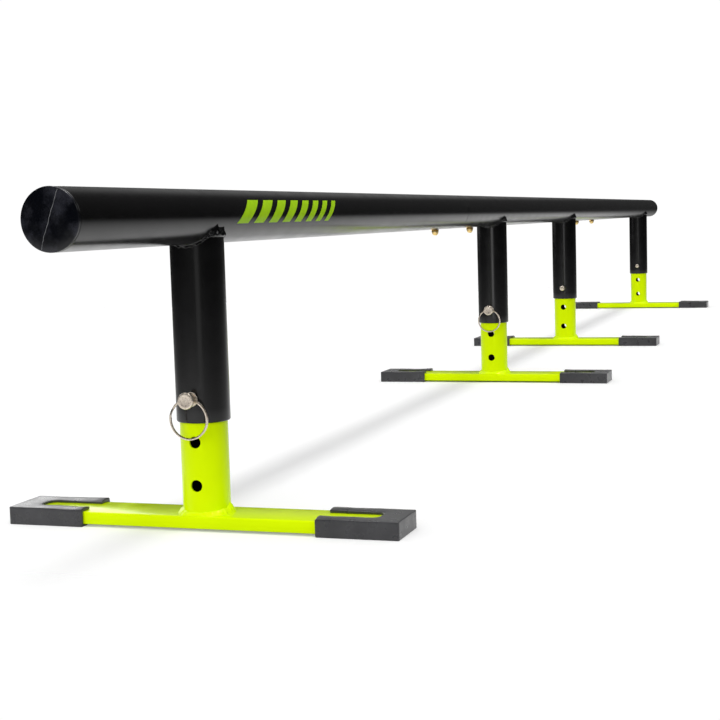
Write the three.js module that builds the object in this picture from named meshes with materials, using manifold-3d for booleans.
// A portable round grind rail for scooters and skateboards: three steel tubes bolted end to end
// over hidden connectors, on four telescoping legs that lock with ring pins.
//
// Frame: +X along the rail from its near end to its far end, +Y across it (the feet lie along Y),
// +Z up, millimetres. The origin is on the floor under the middle of the rail.

import * as THREE from 'three';
import { mergeVertices } from 'three/addons/utils/BufferGeometryUtils.js';
import Module from 'manifold-3d';

const wasm = await Module();
wasm.setup();

// ---------------------------------------------------------------------------
// Driving dimensions
// ---------------------------------------------------------------------------

const GAP = 0.3;                    // between pieces that touch or are welded together
const ROUND = 32;                   // sides of the large tubes
const SMALL_ROUND = 12;             // sides of pins, bolts and their holes
const BEAD_ROUND = 24;              // steps round a weld bead
const PAST = 5;                     // how far a cutting solid reaches past what it cuts

// rail
const TUBE_R = 25.4;                // rail and sleeve tube, 50.8 mm outside
const TUBE_WALL = 2;
const SECTION_LENGTH = 1200;
const SECTION_NAMES = ['near', 'middle', 'far'];
const RAIL_LENGTH = SECTION_LENGTH * SECTION_NAMES.length;
const RAIL_Z = 292.6;               // height of the rail's axis
const SEAM_GAP = 0.6;               // between two sections

// joints between sections
const BOLT_FROM_SEAM = 105;
const CONNECTOR_LENGTH = 300;
const CONNECTOR_R = 23;
const CONNECTOR_WALL = 2;
const BOLT_R = 3;                   // M6 shank
const BOLT_HOLE_R = BOLT_R + GAP;
const HEX_FLATS = 10;               // across flats, bolt head and weld nut
const NUT_HEIGHT = 5;
const BOLT_HEX_HEIGHT = 4;
const BOLT_DOME_R = 4.8;
const BOLT_DOME_HEIGHT = 4.6;

// end caps
const CAP_FLANGE = 3;
const CAP_DOME = 1;
const CAP_PLUG_R = 23;
const CAP_PLUG_WALL = 2.5;
const CAP_PLUG_LENGTH = 22;
const CAP_PLUG_TAPER = 3;
const CAP_EDGE = 1.2;

// legs
const LEG_FROM_SECTION_END = 260;
const SLEEVE_BOTTOM_Z = 101.6;
const SLEEVE_EDGE = 1.5;            // rounding of the sleeve's bottom edge
const STEM_R = 22.7;
const STEM_WALL = 2;
const STEM_TOP_Z = 180;
const HOLE_R = 5.6;                 // height-adjustment holes
const PIN_Z = 124.5;
const HOLE_PITCH = 41;
const HOLE_COUNT = 3;

// feet
const BAR_WIDTH = 50.8;
const BAR_LENGTH = 390;
const BAR_THICKNESS = 12;
const RUBBER_WALL = 3;
const RUBBER_SOLE = 2.1;
const RUBBER_LIP = 2.5;
const RUBBER_LENGTH = 79.3;
const RUBBER_SLOT_WIDTH = 24;
const RUBBER_SLOT_DEPTH = 55;
const RUBBER_SLOT_ROUND = 8;
const BAR_BOTTOM_Z = RUBBER_SOLE + GAP;
const BAR_TOP_Z = BAR_BOTTOM_Z + BAR_THICKNESS;

// lock pins and pull rings
const PIN_R = 5.1;
const PIN_TIP = 9;                  // stands out beyond the sleeve
const PIN_TIP_ROUND = 2.6;
const COLLAR_R = 6.9;               // rests on the sleeve
const COLLAR_THICKNESS = 2.6;
const NECK_R = 5.6;
const NECK_LENGTH = 10.5;           // with the collar
const HEAD_R = 7.8;
const HEAD_THICKNESS = 3.5;
const HEAD_EDGE = 0.8;
const RING_R = 18.4;                // to the middle of the wire
const WIRE_R = 1.1;
const RING_HOLE_R = 2;
const RING_HOLE_FROM_SLEEVE = 7.6;  // middle of the ring's hole to the sleeve
const RING_DROP = 0.55;             // ring's highest point above the middle of its hole

// weld beads
const SADDLE_BEAD_R = 4;
const SADDLE_BEAD_RING_R = 26.4;
const SADDLE_BEAD_TUCK = 2.6;       // the bead flattens where the two tubes run side by side
const SADDLE_BEAD_CLEAR = 27;
const FOOT_BEAD_R = 29;
const FOOT_BEAD_HEIGHT = 6.3;

// ---------------------------------------------------------------------------
// Materials
// ---------------------------------------------------------------------------

function paint(color, roughness, metalness) {
  return new THREE.MeshStandardMaterial({ color, roughness, metalness });
}

const BLACK_PAINT = paint(0x111215, 0.35, 0.0);
const GREEN_PAINT = paint(0xd2f000, 0.4, 0.0);
const RUBBER = paint(0x47474b, 0.75, 0.0);
const BLACK_PLASTIC = paint(0x16181d, 0.45, 0.0);
const NICKEL = paint(0xcfc2b6, 0.3, 1.0);
const YELLOW_ZINC = paint(0xd8a75c, 0.3, 1.0);
const BARE_STEEL = paint(0x8d8f92, 0.5, 1.0);

// ---------------------------------------------------------------------------
// Solids
// ---------------------------------------------------------------------------

function toSolid(geometry) {
  const bare = geometry.clone();
  bare.deleteAttribute('normal');
  bare.deleteAttribute('uv');
  const merged = mergeVertices(bare, 1e-4);
  const index = merged.index.array;
  const triangles = [];
  for (let i = 0; i < index.length; i += 3) {
    const [a, b, c] = index.slice(i, i + 3);
    if (a !== b && b !== c && c !== a) {
      triangles.push(a, b, c);
    }
  }
  const vertProperties = new Float32Array(merged.attributes.position.array);
  const triVerts = new Uint32Array(triangles);
  return new wasm.Manifold(new wasm.Mesh({ numProp: 3, vertProperties, triVerts }));
}

function toGeometry(solid) {
  const mesh = solid.getMesh();
  const geometry = new THREE.BufferGeometry();
  geometry.setAttribute('position', new THREE.BufferAttribute(mesh.vertProperties, 3));
  geometry.setIndex(new THREE.BufferAttribute(mesh.triVerts, 1));
  geometry.computeVertexNormals();
  return geometry;
}

// A body of revolution about +Z. The profile lists [radius, height] pairs, upwards on the outside.
function turned(profile, sides) {
  const points = profile.map(([radius, height]) => new THREE.Vector2(radius, height));
  return new THREE.LatheGeometry(points, sides).rotateX(Math.PI / 2);
}

function tube(outer, wall, bottom, top, sides) {
  const inner = outer - wall;
  return turned([[outer, bottom], [outer, top], [inner, top], [inner, bottom], [outer, bottom]], sides);
}

function rod(radius, bottom, top, sides) {
  return turned([[0, bottom], [radius, bottom], [radius, top], [0, top]], sides);
}

function alongX(geometry) {
  return geometry.rotateY(Math.PI / 2);
}

function alongY(geometry) {
  return geometry.rotateX(-Math.PI / 2);
}

// The radius whose flat sides stay the gap clear of a round piece.
function clearOf(radius, sides) {
  return (radius + GAP) / Math.cos(Math.PI / sides);
}

function box(width, depth, height, x, y, z) {
  return new THREE.BoxGeometry(width, depth, height).translate(x, y, z);
}

function hexPrism(bottom, top) {
  return rod(HEX_FLATS / 2 / Math.cos(Math.PI / 6), bottom, top, 6);
}

// ---------------------------------------------------------------------------
// Rail
// ---------------------------------------------------------------------------

// A tube section centred on its own middle, drilled from below near each bolted end.
function railSection(index) {
  const first = index === 0;
  const last = index === SECTION_NAMES.length - 1;
  const start = -SECTION_LENGTH / 2 + (first ? 0 : SEAM_GAP / 2);
  const end = SECTION_LENGTH / 2 - (last ? 0 : SEAM_GAP / 2);
  let solid = toSolid(alongX(tube(TUBE_R, TUBE_WALL, start, end, ROUND)));
  for (const side of [-1, 1]) {
    const bolted = side < 0 ? !first : !last;
    if (bolted) {
      const x = side * (SECTION_LENGTH / 2 - BOLT_FROM_SEAM);
      const drill = rod(BOLT_HOLE_R, -TUBE_R - PAST, 0, SMALL_ROUND).translate(x, 0, 0);
      solid = solid.subtract(toSolid(drill));
    }
  }
  return toGeometry(solid);
}

// The spigot tube hidden inside two neighbouring sections.
function connector() {
  const half = CONNECTOR_LENGTH / 2;
  let solid = toSolid(alongX(tube(CONNECTOR_R, CONNECTOR_WALL, -half, half, ROUND)));
  for (const side of [-1, 1]) {
    const drill = rod(BOLT_HOLE_R, -CONNECTOR_R - PAST, 0, SMALL_ROUND);
    solid = solid.subtract(toSolid(drill.translate(side * BOLT_FROM_SEAM, 0, 0)));
  }
  return toGeometry(solid);
}

// A nut welded to the connector's floor, its underside curved to sit in the tube.
function weldNut() {
  const floor = -CONNECTOR_R + CONNECTOR_WALL;
  const block = toSolid(hexPrism(floor - 2, floor + NUT_HEIGHT));
  const bore = toSolid(rod(BOLT_HOLE_R, floor - PAST, floor + NUT_HEIGHT + PAST, SMALL_ROUND));
  const inside = toSolid(alongX(rod(-floor - GAP, -HEX_FLATS, HEX_FLATS, ROUND)));
  return toGeometry(block.intersect(inside).subtract(bore));
}

// A domed hexagon bolt that enters from below and ends above its nut.
function jointBolt() {
  const seat = -TUBE_R - GAP;
  const top = -CONNECTOR_R + CONNECTOR_WALL + NUT_HEIGHT + 2;
  const hex = hexPrism(seat - BOLT_HEX_HEIGHT, seat);
  const shank = rod(BOLT_R, seat - 1, top, SMALL_ROUND);
  const dome = turned(
    [
      [0, -BOLT_DOME_HEIGHT],
      [BOLT_DOME_R * 0.38, -BOLT_DOME_HEIGHT * 0.93],
      [BOLT_DOME_R * 0.71, -BOLT_DOME_HEIGHT * 0.71],
      [BOLT_DOME_R * 0.93, -BOLT_DOME_HEIGHT * 0.38],
      [BOLT_DOME_R, 1],
      [0, 1],
    ],
    SMALL_ROUND,
  ).translate(0, 0, seat - BOLT_HEX_HEIGHT);
  return toGeometry(toSolid(hex).add(toSolid(shank)).add(toSolid(dome)));
}

// A push-in plastic cap: a domed flange outside the tube and a hollow plug inside it.
// Its own +Z points out of the rail.
function endCap() {
  const rim = CAP_FLANGE + GAP;
  const core = CAP_PLUG_R - CAP_PLUG_WALL;
  return turned(
    [
      [0, GAP],
      [core, GAP],
      [core, -CAP_PLUG_LENGTH],
      [CAP_PLUG_R - CAP_EDGE, -CAP_PLUG_LENGTH],
      [CAP_PLUG_R, -CAP_PLUG_LENGTH + CAP_PLUG_TAPER],
      [CAP_PLUG_R, GAP],
      [TUBE_R, GAP],
      [TUBE_R, rim - CAP_EDGE],
      [TUBE_R - CAP_EDGE, rim],
      [TUBE_R * 0.6, rim + CAP_DOME * 0.7],
      [0, rim + CAP_DOME],
    ],
    ROUND,
  );
}

// ---------------------------------------------------------------------------
// Legs
// ---------------------------------------------------------------------------

// Upper leg tube, coped to the underside of the rail and drilled for the lock pin.
function legSleeve() {
  const inner = TUBE_R - TUBE_WALL;
  const body = turned(
    [
      [TUBE_R - SLEEVE_EDGE, SLEEVE_BOTTOM_Z],
      [TUBE_R - SLEEVE_EDGE * 0.3, SLEEVE_BOTTOM_Z + SLEEVE_EDGE * 0.3],
      [TUBE_R, SLEEVE_BOTTOM_Z + SLEEVE_EDGE],
      [TUBE_R, RAIL_Z],
      [inner, RAIL_Z],
      [inner, SLEEVE_BOTTOM_Z],
      [TUBE_R - SLEEVE_EDGE, SLEEVE_BOTTOM_Z],
    ],
    ROUND,
  );
  const cope = alongX(rod(clearOf(TUBE_R, ROUND), -TUBE_R * 2, TUBE_R * 2, ROUND));
  const pinHole = alongX(rod(HOLE_R, -TUBE_R * 2, TUBE_R * 2, SMALL_ROUND));
  const solid = toSolid(body)
    .subtract(toSolid(cope.translate(0, 0, RAIL_Z)))
    .subtract(toSolid(pinHole.translate(0, 0, PIN_Z)));
  return toGeometry(solid);
}

// The bead round the sleeve's saddle joint: a torus bent to follow the rail's underside.
function saddleWeld() {
  const bead = new THREE.TorusGeometry(SADDLE_BEAD_RING_R, SADDLE_BEAD_R, 6, BEAD_ROUND);
  const at = bead.attributes.position;
  for (let i = 0; i < at.count; i += 1) {
    const x = at.getX(i);
    const y = at.getY(i);
    const sine = y / Math.hypot(x, y);
    const tuck = 1 - SADDLE_BEAD_TUCK * sine * sine / SADDLE_BEAD_RING_R;
    const drop = Math.sqrt(SADDLE_BEAD_CLEAR ** 2 - (TUBE_R * sine) ** 2);
    at.setXYZ(i, x * tuck, y * tuck, at.getZ(i) + RAIL_Z - drop);
  }
  const rail = alongX(rod(clearOf(TUBE_R, ROUND), -TUBE_R * 2, TUBE_R * 2, ROUND));
  const sleeve = rod(clearOf(TUBE_R, ROUND), 0, RAIL_Z * 2, ROUND);
  const solid = toSolid(bead)
    .subtract(toSolid(rail.translate(0, 0, RAIL_Z)))
    .subtract(toSolid(sleeve));
  return toGeometry(solid);
}

// Lower leg tube that slides in the sleeve, with a row of through-holes for the pin.
function legStem() {
  let solid = toSolid(tube(STEM_R, STEM_WALL, BAR_TOP_Z + GAP, STEM_TOP_Z, ROUND));
  for (let i = 0; i < HOLE_COUNT; i += 1) {
    const hole = alongX(rod(HOLE_R, -TUBE_R * 2, TUBE_R * 2, SMALL_ROUND));
    solid = solid.subtract(toSolid(hole.translate(0, 0, PIN_Z - i * HOLE_PITCH)));
  }
  return toGeometry(solid);
}

function footBar() {
  return box(BAR_WIDTH, BAR_LENGTH, BAR_THICKNESS, 0, 0, BAR_BOTTOM_Z + BAR_THICKNESS / 2);
}

// The bead between stem and bar, squeezed where the stem nearly reaches the bar's edges.
function footWeld() {
  const floor = BAR_TOP_Z + GAP;
  const flare = turned(
    [
      [0, floor],
      [FOOT_BEAD_R, floor],
      [FOOT_BEAD_R - 0.6, floor + 1],
      [FOOT_BEAD_R - 3.2, floor + FOOT_BEAD_HEIGHT * 0.5],
      [STEM_R + GAP + 1, floor + FOOT_BEAD_HEIGHT],
      [0, floor + FOOT_BEAD_HEIGHT],
    ],
    BEAD_ROUND,
  ).scale((BAR_WIDTH / 2) / FOOT_BEAD_R, 1, 1);
  const stem = rod(clearOf(STEM_R, ROUND), 0, RAIL_Z, ROUND);
  return toGeometry(toSolid(flare).subtract(toSolid(stem)));
}

// A rubber boot over one end of a foot bar. Its own origin is at the mouth, +Y points to the end.
function rubberBoot() {
  const half = BAR_WIDTH / 2 + GAP;
  const pocketLength = RUBBER_LENGTH - RUBBER_WALL;
  const ceiling = BAR_TOP_Z + GAP;
  const height = ceiling + RUBBER_LIP;
  const outer = box(
    (half + RUBBER_WALL) * 2, RUBBER_LENGTH, height,
    0, RUBBER_LENGTH / 2, height / 2,
  );
  const pocket = box(
    half * 2, pocketLength + PAST * 2, ceiling - RUBBER_SOLE,
    0, pocketLength / 2 - PAST, (ceiling + RUBBER_SOLE) / 2,
  );
  const outline = new THREE.Shape();
  const edge = RUBBER_SLOT_WIDTH / 2;
  const turn = edge - RUBBER_SLOT_ROUND;
  outline.moveTo(-edge, -PAST);
  outline.lineTo(edge, -PAST);
  outline.lineTo(edge, RUBBER_SLOT_DEPTH - RUBBER_SLOT_ROUND);
  outline.absarc(turn, RUBBER_SLOT_DEPTH - RUBBER_SLOT_ROUND, RUBBER_SLOT_ROUND, 0, Math.PI / 2);
  outline.lineTo(-turn, RUBBER_SLOT_DEPTH);
  outline.absarc(-turn, RUBBER_SLOT_DEPTH - RUBBER_SLOT_ROUND, RUBBER_SLOT_ROUND, Math.PI / 2, Math.PI);
  outline.closePath();
  const slot = new THREE.ExtrudeGeometry(outline, {
    depth: RUBBER_LIP * 3,
    bevelEnabled: false,
    curveSegments: 4,
  }).translate(0, 0, ceiling - RUBBER_LIP);
  return toGeometry(toSolid(outer).subtract(toSolid(pocket)).subtract(toSolid(slot)));
}

// ---------------------------------------------------------------------------
// Lock pins
// ---------------------------------------------------------------------------

// A headed pin with its own +Z along the shaft and its origin on the leg's axis.
function lockPin() {
  const shoulder = -TUBE_R - GAP;
  const collar = shoulder - COLLAR_THICKNESS;
  const neckEnd = shoulder - NECK_LENGTH;
  const face = neckEnd - HEAD_THICKNESS;
  const tip = TUBE_R + PIN_TIP;
  const body = turned(
    [
      [0, face],
      [HEAD_R - HEAD_EDGE, face],
      [HEAD_R, face + HEAD_EDGE],
      [HEAD_R, neckEnd - HEAD_EDGE],
      [HEAD_R - HEAD_EDGE, neckEnd],
      [NECK_R, neckEnd],
      [NECK_R, collar],
      [COLLAR_R, collar],
      [COLLAR_R, shoulder],
      [PIN_R, shoulder],
      [PIN_R, tip - PIN_TIP_ROUND],
      [PIN_R - PIN_TIP_ROUND * 0.4, tip - PIN_TIP_ROUND * 0.3],
      [PIN_R - PIN_TIP_ROUND, tip],
      [0, tip],
    ],
    SMALL_ROUND,
  );
  const eye = alongY(rod(RING_HOLE_R, -HEAD_R * 2, HEAD_R * 2, SMALL_ROUND));
  const solid = toSolid(body).subtract(toSolid(eye.translate(0, 0, -TUBE_R - RING_HOLE_FROM_SLEEVE)));
  return alongX(toGeometry(solid));
}

// A wire ring that hangs in the pin's eye, in the plane across the rail.
function pullRing() {
  const hangs = RING_DROP - RING_R;
  return new THREE.TorusGeometry(RING_R, WIRE_R, 6, 28).rotateY(Math.PI / 2).translate(0, 0, hangs);
}

// ---------------------------------------------------------------------------
// Assembly
// ---------------------------------------------------------------------------

const rail = new THREE.Group();

function place(name, geometry, material, x, y, z, turnZ = 0) {
  const mesh = new THREE.Mesh(geometry, material);
  mesh.name = name;
  mesh.position.set(x, y, z);
  mesh.rotation.z = turnZ;
  rail.add(mesh);
  return mesh;
}

function addSections() {
  SECTION_NAMES.forEach((name, index) => {
    const x = (index + 0.5) * SECTION_LENGTH - RAIL_LENGTH / 2;
    place(`rail_section_${name}`, railSection(index), BLACK_PAINT, x, 0, RAIL_Z);
  });
  for (const [name, side] of [['near', -1], ['far', 1]]) {
    const cap = alongX(endCap());
    place(`end_cap_${name}`, cap, BLACK_PLASTIC, side * RAIL_LENGTH / 2, 0, RAIL_Z, side < 0 ? Math.PI : 0);
  }
}

function addJoints() {
  let bolt = 0;
  for (let seam = 1; seam < SECTION_NAMES.length; seam += 1) {
    const x = seam * SECTION_LENGTH - RAIL_LENGTH / 2;
    place(`connector_${seam}`, connector(), BARE_STEEL, x, 0, RAIL_Z);
    for (const side of [-1, 1]) {
      bolt += 1;
      place(`weld_nut_${bolt}`, weldNut(), BARE_STEEL, x + side * BOLT_FROM_SEAM, 0, RAIL_Z);
      place(`joint_bolt_${bolt}`, jointBolt(), YELLOW_ZINC, x + side * BOLT_FROM_SEAM, 0, RAIL_Z);
    }
  }
}

// One leg with its foot and pin. The pin's head faces the near end or the far end.
function addLeg(number, x, headSide) {
  place(`leg_sleeve_${number}`, legSleeve(), BLACK_PAINT, x, 0, 0);
  place(`saddle_weld_${number}`, saddleWeld(), BLACK_PAINT, x, 0, 0);
  place(`leg_stem_${number}`, legStem(), GREEN_PAINT, x, 0, 0);
  place(`foot_bar_${number}`, footBar(), GREEN_PAINT, x, 0, 0);
  place(`foot_weld_${number}`, footWeld(), GREEN_PAINT, x, 0, 0);
  const mouth = BAR_LENGTH / 2 + GAP + RUBBER_WALL - RUBBER_LENGTH;
  place(`rubber_boot_${number}_left`, rubberBoot(), RUBBER, x, mouth, 0);
  place(`rubber_boot_${number}_right`, rubberBoot(), RUBBER, x, -mouth, 0, Math.PI);
  place(`lock_pin_${number}`, lockPin(), NICKEL, x, 0, PIN_Z, headSide < 0 ? 0 : Math.PI);
  const ringX = x + headSide * (TUBE_R + RING_HOLE_FROM_SLEEVE);
  place(`pull_ring_${number}`, pullRing(), NICKEL, ringX, 0, PIN_Z);
}

function addLegs() {
  const outer = RAIL_LENGTH / 2 - LEG_FROM_SECTION_END;
  const inner = SECTION_LENGTH / 2 - LEG_FROM_SECTION_END;
  [-outer, -inner, inner, outer].forEach((x, index) => {
    addLeg(index + 1, x, Math.sign(x));
  });
}

addSections();
addJoints();
addLegs();

export default rail;
